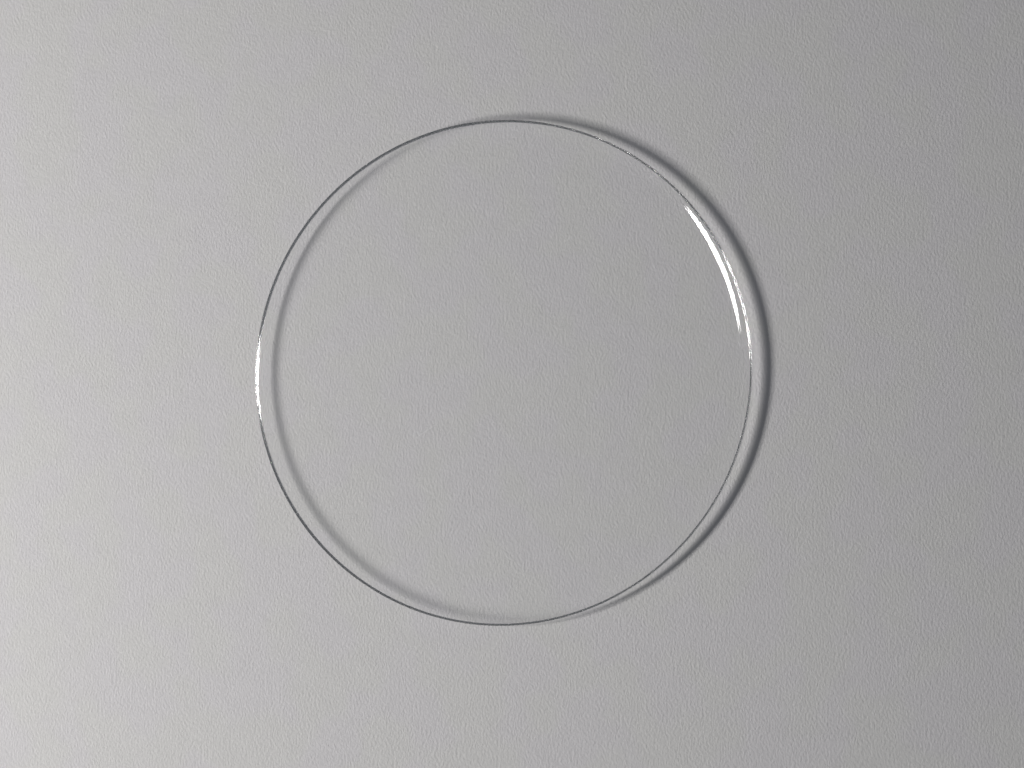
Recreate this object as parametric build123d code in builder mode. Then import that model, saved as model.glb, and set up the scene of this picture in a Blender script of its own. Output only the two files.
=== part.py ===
from build123d import *
import math
import os

# A pocket watch crystal: one thin pane of clear mineral glass, lying with its hollow side up.
# The middle is a flat disc. Round it the glass was bent up over a form in one even curve, and
# its edge was then ground to a cylinder, so that it seats in the groove of the watch's bezel.
# Sizes are in millimetres. Z = 0 is the flat front face that the crystal lies on.

# Driving dimensions of the bent pane
crystal_diameter = 44.0      # over the ground edge, which seats in the bezel
glass_thickness = 0.5        # the same through the flat middle and the curved border
border_width = 1.9           # from the flat middle out to the ground edge
border_curve_radius = 2.75   # of the border's curve, on the hollow side

# Driving dimensions of the ground edge
front_chamfer = 0.05         # breaks the corner on the front, beside the bezel's lip
back_chamfer = 0.04          # takes the sharp burr off the corner on the hollow side

# Places that follow from them
crystal_radius = crystal_diameter / 2
flat_radius = crystal_radius - border_width
front_curve_radius = border_curve_radius + glass_thickness
curve_centre = (flat_radius, front_curve_radius)


def turn_at_edge(curve_radius):
    """How far a curve of the border has turned up, in degrees, where the ground edge cuts it."""
    return math.degrees(math.asin(border_width / curve_radius))


# The crystal is turned from its section: flat, curve and ground edge, front and hollow side
with BuildPart() as crystal:
    with BuildSketch(Plane.XZ):
        with BuildLine():
            front_flat = Line((0, 0), (flat_radius, 0))
            front_turn = turn_at_edge(front_curve_radius)
            front_curve = CenterArc(curve_centre, front_curve_radius, -90, front_turn)
            back_turn = turn_at_edge(border_curve_radius)
            back_curve = CenterArc(curve_centre, border_curve_radius, -90, back_turn)
            ground_edge = Line(front_curve @ 1, back_curve @ 1)
            back_flat = Line(back_curve @ 0, (0, glass_thickness))
            Line(back_flat @ 1, front_flat @ 0)
        make_face()
    revolve(axis=Axis.Z)
    edge_corners = crystal.edges().filter_by(GeomType.CIRCLE).group_by(SortBy.RADIUS)[-1].sort_by(Axis.Z)
    chamfer(edge_corners[0], length=front_chamfer)
    chamfer(edge_corners[-1], length=back_chamfer)

crystal.part.label = "crystal"
os.makedirs("parts", exist_ok=True)
export_step(crystal.part, "parts/crystal.step")

edge_band = crystal.faces().filter_by(GeomType.CYLINDER)[0].bounding_box()
print("volume mm3", round(crystal.part.volume, 3), "height", round(crystal.part.bounding_box().max.Z, 4))
print("ground edge from", round(edge_band.min.Z, 4), "to", round(edge_band.max.Z, 4))
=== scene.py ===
import math

import bmesh
import bpy
from mathutils import Matrix, Vector


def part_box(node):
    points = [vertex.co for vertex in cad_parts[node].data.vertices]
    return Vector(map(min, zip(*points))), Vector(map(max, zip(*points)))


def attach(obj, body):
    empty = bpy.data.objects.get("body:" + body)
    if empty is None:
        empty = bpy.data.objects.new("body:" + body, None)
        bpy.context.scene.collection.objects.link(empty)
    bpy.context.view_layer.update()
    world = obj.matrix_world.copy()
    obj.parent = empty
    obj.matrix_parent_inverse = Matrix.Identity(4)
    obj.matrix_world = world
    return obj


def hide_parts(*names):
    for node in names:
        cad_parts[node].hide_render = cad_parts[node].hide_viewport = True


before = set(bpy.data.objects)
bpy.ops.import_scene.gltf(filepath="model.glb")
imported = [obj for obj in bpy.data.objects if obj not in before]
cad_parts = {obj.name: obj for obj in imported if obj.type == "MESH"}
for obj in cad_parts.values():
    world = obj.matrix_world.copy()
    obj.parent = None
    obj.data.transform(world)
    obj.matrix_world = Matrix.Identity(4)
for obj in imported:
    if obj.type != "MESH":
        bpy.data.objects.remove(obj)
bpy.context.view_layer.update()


# The crystal: the clear pane over a pocket watch's dial, lying with its hollow side up.
# It is one disc of mineral glass. Its border was bent up over a form while hot, and its edge was
# then ground to a cylinder and polished, so that it snaps into the groove of the bezel.

mm = 0.001
highest_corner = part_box("crystal")[1]
crystal_radius = highest_corner[0]
glass_thickness = 0.5 * mm
border_width = 1.9 * mm
border_curve_radius = 2.75 * mm
front_chamfer = 0.05 * mm
back_chamfer = 0.04 * mm

flat_radius = crystal_radius - border_width
front_curve_radius = border_curve_radius + glass_thickness
curve_centre = Vector((flat_radius, 0, front_curve_radius))
front_edge_turn = math.asin(border_width / front_curve_radius)
back_edge_turn = math.asin(border_width / border_curve_radius)
past_the_edge = math.radians(4)
curve_steps = 32
flat_rings = 4
support_gap = 0.04 * mm  # a narrow ring where the flat meets the curve keeps the flat's shading flat
turns_round = 720


def run_on(section, vertex, step):
    """Carry the outline straight on from a vertex by a step, and return its new end."""
    made = bmesh.ops.extrude_vert_indiv(section, verts=[vertex])
    bmesh.ops.translate(section, verts=made["verts"], vec=step)
    return made["verts"][0]


def draw_face(section, height, edge_turn):
    """Draw one face of the bent pane in section: its flat middle, then its curve past the edge."""
    end = section.verts.new((0, 0, height))
    for _ in range(flat_rings):
        end = run_on(section, end, ((flat_radius - support_gap) / flat_rings, 0, 0))
    end = run_on(section, end, (support_gap, 0, 0))
    bmesh.ops.spin(
        section, geom=[end], cent=curve_centre, axis=(0, -1, 0),
        angle=edge_turn + past_the_edge, steps=curve_steps,
    )


def grind(section, point, outward):
    """Take off what lies outside a flat cut through a point, and close the outline there."""
    everything = section.verts[:] + section.edges[:]
    cut = bmesh.ops.bisect_plane(
        section, geom=everything, plane_co=point, plane_no=outward, clear_outer=True
    )
    corners = [part for part in cut["geom_cut"] if isinstance(part, bmesh.types.BMVert)]
    section.edges.new(corners)
    return sorted((corner.co.copy() for corner in corners), key=lambda place: place.z)


def halfway_out(turn, side):
    """The direction that halves a corner of the edge, between a face turned up so far and the wall."""
    return Vector((side * math.sin(turn) + 1, 0, -side * math.cos(turn)))


glass = bmesh.new()
draw_face(glass, 0, front_edge_turn)
draw_face(glass, glass_thickness, back_edge_turn)
front_corner, back_corner = grind(glass, (crystal_radius, 0, 0), (1, 0, 0))
grind(glass, front_corner + Vector((0, 0, front_chamfer)), halfway_out(front_edge_turn, 1))
grind(glass, back_corner - Vector((0, 0, back_chamfer)), halfway_out(back_edge_turn, -1))
bmesh.ops.spin(
    glass, geom=glass.verts[:] + glass.edges[:], cent=(0, 0, 0), axis=(0, 0, 1),
    angle=math.tau, steps=turns_round, use_merge=True,
)
bmesh.ops.remove_doubles(glass, verts=glass.verts[:], dist=0.001 * mm)
bmesh.ops.recalc_face_normals(glass, faces=glass.faces[:])

corner_angle = math.radians(12)
for face in glass.faces:
    face.smooth = True
for edge in glass.edges:
    edge.smooth = edge.calc_face_angle(0) < corner_angle

mesh = bpy.data.meshes.new("crystal_glass")
glass.to_mesh(mesh)
glass.free()
crystal = bpy.data.objects.new("crystal_glass", mesh)
bpy.context.scene.collection.objects.link(crystal)


def linear(hex_colour):
    """An sRGB hex colour as the linear colour that a shader takes."""
    parts = [int(hex_colour[i:i + 2], 16) / 255 for i in (1, 3, 5)]
    light = [part / 12.92 if part <= 0.04045 else ((part + 0.055) / 1.055) ** 2.4 for part in parts]
    return (*light, 1)


def add(tree, kind, settings=None, **links):
    """Add one node, set its values by name or number, and link sockets into its inputs."""
    made = tree.nodes.new(kind)
    for name, value in (settings or {}).items():
        if isinstance(name, int) or name in made.inputs:
            made.inputs[name].default_value = value
        else:
            setattr(made, name, value)
    for name, socket in links.items():
        key = int(name[1:]) if name[1:].isdigit() else name.replace("_", " ")
        tree.links.new(socket, made.inputs[key])
    return made.outputs


def span(tree, value, low, high, at_low, at_high, curve="SMOOTHSTEP"):
    """Carry a value from one span to another, held at its ends."""
    return add(tree, "ShaderNodeMapRange", {
        "interpolation_type": curve,
        "From Min": low, "From Max": high, "To Min": at_low, "To Max": at_high,
    }, Value=value)["Result"]


def sums(tree, operation, *terms):
    """One step of arithmetic on two terms, each of them a socket or a number."""
    numbers = {place: term for place, term in enumerate(terms) if isinstance(term, float)}
    sockets = {f"_{place}": term for place, term in enumerate(terms) if place not in numbers}
    return add(tree, "ShaderNodeMath", {"operation": operation, **numbers}, **sockets)[0]


def hairlines(tree, place, heading, seed, length, width):
    """Sparse scratches along one heading, each a fine streak of noise that clears a high bar."""
    streaks = add(tree, "ShaderNodeMapping", {
        "vector_type": "TEXTURE",
        "Location": (seed * length, seed * length, 0),
        "Rotation": (0, 0, heading),
        "Scale": (length, width, length),
    }, Vector=place)[0]
    noise = add(tree, "ShaderNodeTexNoise", {"Scale": 1.0, "Detail": 1.0}, Vector=streaks)[0]
    return span(tree, noise, low=0.765, high=0.80, at_low=0.0, at_high=1.0)


def polished_glass():
    """Clear polished mineral glass, with a few hairline scratches and faint wheel marks on its edge."""
    material = bpy.data.materials.new("polished_mineral_glass")
    material.use_nodes = True
    tree = material.node_tree
    tree.nodes.clear()
    place = add(tree, "ShaderNodeTexCoord")["Object"]
    height = add(tree, "ShaderNodeSeparateXYZ", Vector=place)["Z"]
    flat_place = add(tree, "ShaderNodeVectorMath", {"operation": "MULTIPLY", 1: (1, 1, 0)}, _0=place)[0]
    from_axis = add(tree, "ShaderNodeVectorMath", {"operation": "LENGTH"}, _0=flat_place)["Value"]
    edge_starts_at = crystal_radius - 0.8 * front_chamfer
    on_edge = sums(tree, "GREATER_THAN", from_axis, edge_starts_at)

    # Years of wiping leave single hairlines, a few mm long and some hundredths of a mm wide
    wiped_across = hairlines(tree, place, math.radians(35), seed=3, length=6 * mm, width=0.05 * mm)
    wiped_along = hairlines(tree, place, math.radians(112), seed=11, length=4 * mm, width=0.04 * mm)
    scratched = sums(tree, "MAXIMUM", wiped_across, wiped_along)

    # The wheel that ground the edge left marks that run round it, one close above the other
    wheel_mark_spacing = 0.03 * mm
    mark_depth = 0.002 * mm
    ground_roughness = 0.22
    scratch_roughness = 0.3
    wheel_marks = add(tree, "ShaderNodeTexNoise", {
        "noise_dimensions": "1D", "Scale": 1 / wheel_mark_spacing, "Detail": 2.0,
    }, W=height)[0]
    ground = sums(tree, "MULTIPLY", wheel_marks, on_edge)
    from_wheel = sums(tree, "MULTIPLY", ground, ground_roughness)
    from_wiping = sums(tree, "MULTIPLY", scratched, scratch_roughness)
    roughness = sums(tree, "ADD", from_wheel, from_wiping)
    relief = add(tree, "ShaderNodeBump", {"Strength": 0.3, "Distance": mark_depth},
                 Height=sums(tree, "SUBTRACT", ground, scratched))[0]
    glass_shader = add(tree, "ShaderNodeBsdfPrincipled", {
        "Base Color": linear("#ffffff"),
        "IOR": 1.52,
        "Transmission Weight": 1.0,
    }, Roughness=roughness, Normal=relief)[0]

    # The renderer can't trace the lamp's light through the glass to the paper. Its shadow rays, which
    # run from the paper to the lamp, meet a clear surface whose strengths were matched to the photo.
    # What leaves the glass at a low angle is turned away, and the border gathers what leaves it
    # squarely into the bright line beside the rim's shadow. The middle passes all, with a little
    # that goes to and fro between it and the paper
    grazing = add(tree, "ShaderNodeLayerWeight", {"Blend": 0.5})["Facing"]
    passed_on = span(tree, grazing, low=0.4, high=0.8, at_low=1.04, at_high=0.38)
    gathered = span(tree, grazing, low=0.1, high=0.18, at_low=1.5, at_high=1.0)
    out_of_face = sums(tree, "MULTIPLY", passed_on, gathered)

    # Towards the edge the bright line fades, and the ground wall stops all but its lowest part
    line_fades_from = 0.42 * mm
    wall_foot = 0.66 * mm
    wall_closed_from = 0.85 * mm
    wall_dims_from = 0.92 * mm
    wall_dimmest_from = 1.12 * mm
    near_edge = span(tree, height, line_fades_from, wall_foot, at_low=0.0, at_high=0.6)
    square_on = span(tree, grazing, low=0.2, high=0.5, at_low=1.0, at_high=0.0)
    into_face = sums(tree, "SUBTRACT", 1.0, sums(tree, "MULTIPLY", near_edge, square_on))
    into_wall = span(tree, height, wall_foot, wall_closed_from, at_low=0.3, at_high=0.0)
    out_of_wall = span(tree, height, wall_dims_from, wall_dimmest_from, at_low=1.0, at_high=0.36)
    entering = add(tree, "ShaderNodeMix", _0=on_edge, _2=into_face, _3=into_wall)[0]
    leaving = add(tree, "ShaderNodeMix", _0=on_edge, _2=out_of_face, _3=out_of_wall)[0]
    side = add(tree, "ShaderNodeNewGeometry")["Backfacing"]
    through = add(tree, "ShaderNodeMix", _0=side, _2=entering, _3=leaving)[0]
    lamp_light = add(tree, "ShaderNodeBsdfTransparent", Color=through)[0]

    # The border bends some light of the room in below itself
    bent_in_from = crystal_radius - 1.0 * mm
    bent_in_most_from = crystal_radius - 0.2 * mm
    bent_in = span(tree, from_axis, bent_in_from, bent_in_most_from, at_low=1.0, at_high=1.12)
    room_light = add(tree, "ShaderNodeBsdfTransparent", Color=bent_in)[0]

    ray = add(tree, "ShaderNodeLightPath")
    lit = add(tree, "ShaderNodeMixShader", _0=ray["Is Shadow Ray"], _1=glass_shader, _2=lamp_light)[0]
    surface = add(tree, "ShaderNodeMixShader", _0=ray["Is Diffuse Ray"], _1=lit, _2=room_light)[0]
    body = add(tree, "ShaderNodeVolumeAbsorption", {"Color": linear("#e7e7e7"), "Density": 30.0})[0]
    add(tree, "ShaderNodeOutputMaterial", Surface=surface, Volume=body)
    return material


mesh.materials.append(polished_glass())
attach(crystal, "root")
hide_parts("crystal")


# The floor: the plain pale sheet of matt paper that the crystal lies on.
# It is pressed pulp, a little uneven in tone and in level, with a tooth of some tenths of a mm.

sheet_size = 3.0
sheet_gap = 0.02 * mm  # keeps the sheet clear of the glass that lies on it

floor_mesh = bpy.data.meshes.new("floor")
sheet = bmesh.new()
bmesh.ops.create_grid(sheet, x_segments=1, y_segments=1, size=sheet_size)
bmesh.ops.translate(sheet, verts=sheet.verts[:], vec=(0, 0, -sheet_gap))
sheet.to_mesh(floor_mesh)
sheet.free()
floor = bpy.data.objects.new("floor", floor_mesh)
bpy.context.scene.collection.objects.link(floor)


def matt_paper():
    """Matt white paper: a faint mottle of tone and tint, and the tooth of its fibres."""
    mottle_size = 1.5 * mm
    patch_size = 5 * mm
    bundle_width = 0.19 * mm
    bundle_length = 0.33 * mm
    tooth_depth = 0.056 * mm
    material = bpy.data.materials.new("matt_paper")
    material.use_nodes = True
    tree = material.node_tree
    tree.nodes.clear()
    place = add(tree, "ShaderNodeTexCoord")["Object"]
    mottle = add(tree, "ShaderNodeTexNoise", {"Scale": 1 / mottle_size, "Detail": 3.0}, Vector=place)[0]
    tone = add(tree, "ShaderNodeMix", {
        "data_type": "RGBA", 6: linear("#c5c4c5"), 7: linear("#cccbcc"),
    }, _0=mottle)[2]

    # The pulp is a trace warmer in one patch and cooler in the next
    patches = add(tree, "ShaderNodeTexNoise", {"Scale": 1 / patch_size, "Detail": 1.0}, Vector=place)[0]
    warmth = span(tree, patches, low=0.4, high=0.6, at_low=0.0, at_high=1.0)
    tint = add(tree, "ShaderNodeMix", {
        "data_type": "RGBA", 6: linear("#fffeff"), 7: linear("#fffffd"),
    }, _0=warmth)[2]
    tinted = add(tree, "ShaderNodeMix", {
        "data_type": "RGBA", "blend_type": "MULTIPLY", 0: 1.0,
    }, _6=tone, _7=tint)[2]

    # The fibres lie mostly along the sheet, so that its tooth is longer that way than across. One
    # fibre is too fine to show from here, so the tooth is drawn as coarse as small bundles of them
    bundles = add(tree, "ShaderNodeMapping", {
        "vector_type": "TEXTURE", "Scale": (bundle_width, bundle_length, bundle_width),
    }, Vector=place)[0]
    tooth = add(tree, "ShaderNodeTexNoise", {"Scale": 1.0, "Detail": 2.0}, Vector=bundles)[0]
    relief = add(tree, "ShaderNodeBump", {"Strength": 1.0, "Distance": tooth_depth}, Height=tooth)[0]
    paper = add(tree, "ShaderNodeBsdfPrincipled", {
        "Roughness": 1.0, "Specular IOR Level": 0.0,
    }, Base_Color=tinted, Normal=relief)[0]
    add(tree, "ShaderNodeOutputMaterial", Surface=paper)
    return material


floor_mesh.materials.append(matt_paper())


# The light: an oval lamp low on the left, whose bulb sits behind a dark disc, and a dim room.
# It is brightest round the disc and fades to its rim, which draws the reflection in the border
# out into points. Its tilt makes the shadow of the rim sharper above on the right than below.

lamp_height = math.radians(38.3)
lamp_heading = math.radians(193.6)
lamp_distance = 260 * mm
lamp_width = math.radians(25)
lamp_depth = math.radians(10)
lamp_roll = math.radians(-33)
lamp_watts_at_1_m = 20.1
dark_disc_share = 0.35
bright_share = 0.5
towards_lamp = Vector((
    math.cos(lamp_height) * math.cos(lamp_heading),
    math.cos(lamp_height) * math.sin(lamp_heading),
    math.sin(lamp_height),
))
lamp_data = bpy.data.lights.new("ring_lamp", "AREA")
lamp_data.shape = "ELLIPSE"
lamp_data.size = 2 * lamp_distance * math.tan(lamp_width / 2)
lamp_data.size_y = 2 * lamp_distance * math.tan(lamp_depth / 2)
lamp_data.energy = lamp_watts_at_1_m * lamp_distance**2
lamp_data.color = linear("#fffdfa")[:3]
lamp_data.use_nodes = True
tree = lamp_data.node_tree
across_lamp = add(tree, "ShaderNodeNewGeometry")["Parametric"]
off_centre = add(tree, "ShaderNodeVectorMath", {"operation": "SUBTRACT", 1: (0.5, 0.5, 0)}, _0=across_lamp)[0]
flat_off = add(tree, "ShaderNodeVectorMath", {"operation": "MULTIPLY", 1: (1, 1, 0)}, _0=off_centre)[0]
from_centre = add(tree, "ShaderNodeVectorMath", {"operation": "LENGTH"}, _0=flat_off)["Value"]
in_ring = sums(tree, "GREATER_THAN", from_centre, 0.5 * dark_disc_share)
fading = span(tree, from_centre, 0.5 * bright_share, 0.5, at_low=1.0, at_high=0.0, curve="LINEAR")
tree.links.new(sums(tree, "MULTIPLY", in_ring, fading), tree.nodes["Emission"].inputs["Strength"])
lamp = bpy.data.objects.new("ring_lamp", lamp_data)
bpy.context.scene.collection.objects.link(lamp)
aimed_down = towards_lamp.to_track_quat("Z", "Y").to_matrix().to_4x4()
rolled = Matrix.Rotation(lamp_roll, 4, "Z")
lamp.matrix_world = Matrix.Translation(towards_lamp * lamp_distance) @ aimed_down @ rolled
lamp.visible_camera = False

room = bpy.data.worlds.new("room")
bpy.context.scene.world = room
room.use_nodes = True
tree = room.node_tree
sky = tree.nodes["Background"]
sky.inputs["Color"].default_value = linear("#f2f7ff")
direction = add(tree, "ShaderNodeTexCoord")["Generated"]
upward_share = add(tree, "ShaderNodeSeparateXYZ", Vector=direction)["Z"]
glow = span(tree, upward_share, low=0.0, high=0.7, at_low=0.02, at_high=0.19, curve="LINEAR")
tree.links.new(glow, sky.inputs["Strength"])


# The camera: above the crystal and a little to its lower right, as in the photograph.
# The guided light in the pane needs many bounces before it comes out at the rim.

camera_tilt = math.radians(12.75)
camera_heading = math.radians(-19)
camera_distance = 230 * mm
aim = Vector((0.93 * mm, -1.05 * mm, 0))
towards_camera = Vector((
    math.sin(camera_tilt) * math.cos(camera_heading),
    math.sin(camera_tilt) * math.sin(camera_heading),
    math.cos(camera_tilt),
))
rightward = Vector((0, 1, 0)).cross(towards_camera).normalized()
upward = towards_camera.cross(rightward)
camera_data = bpy.data.cameras.new("camera")
camera_data.sensor_width = 36
camera_data.lens = 92.9
camera_data.clip_start = 1 * mm
camera = bpy.data.objects.new("camera", camera_data)
bpy.context.scene.collection.objects.link(camera)
facing = Matrix((rightward, upward, towards_camera)).transposed().to_4x4()
camera.matrix_world = Matrix.Translation(aim + towards_camera * camera_distance) @ facing

most_bounces = 300
scene = bpy.context.scene
scene.camera = camera
scene.view_settings.view_transform = "Standard"
scene.cycles.max_bounces = most_bounces
scene.cycles.transmission_bounces = most_bounces
scene.cycles.glossy_bounces = most_bounces
scene.cycles.caustics_refractive = False
scene.cycles.caustics_reflective = False
scene.cycles.sample_clamp_indirect = 0
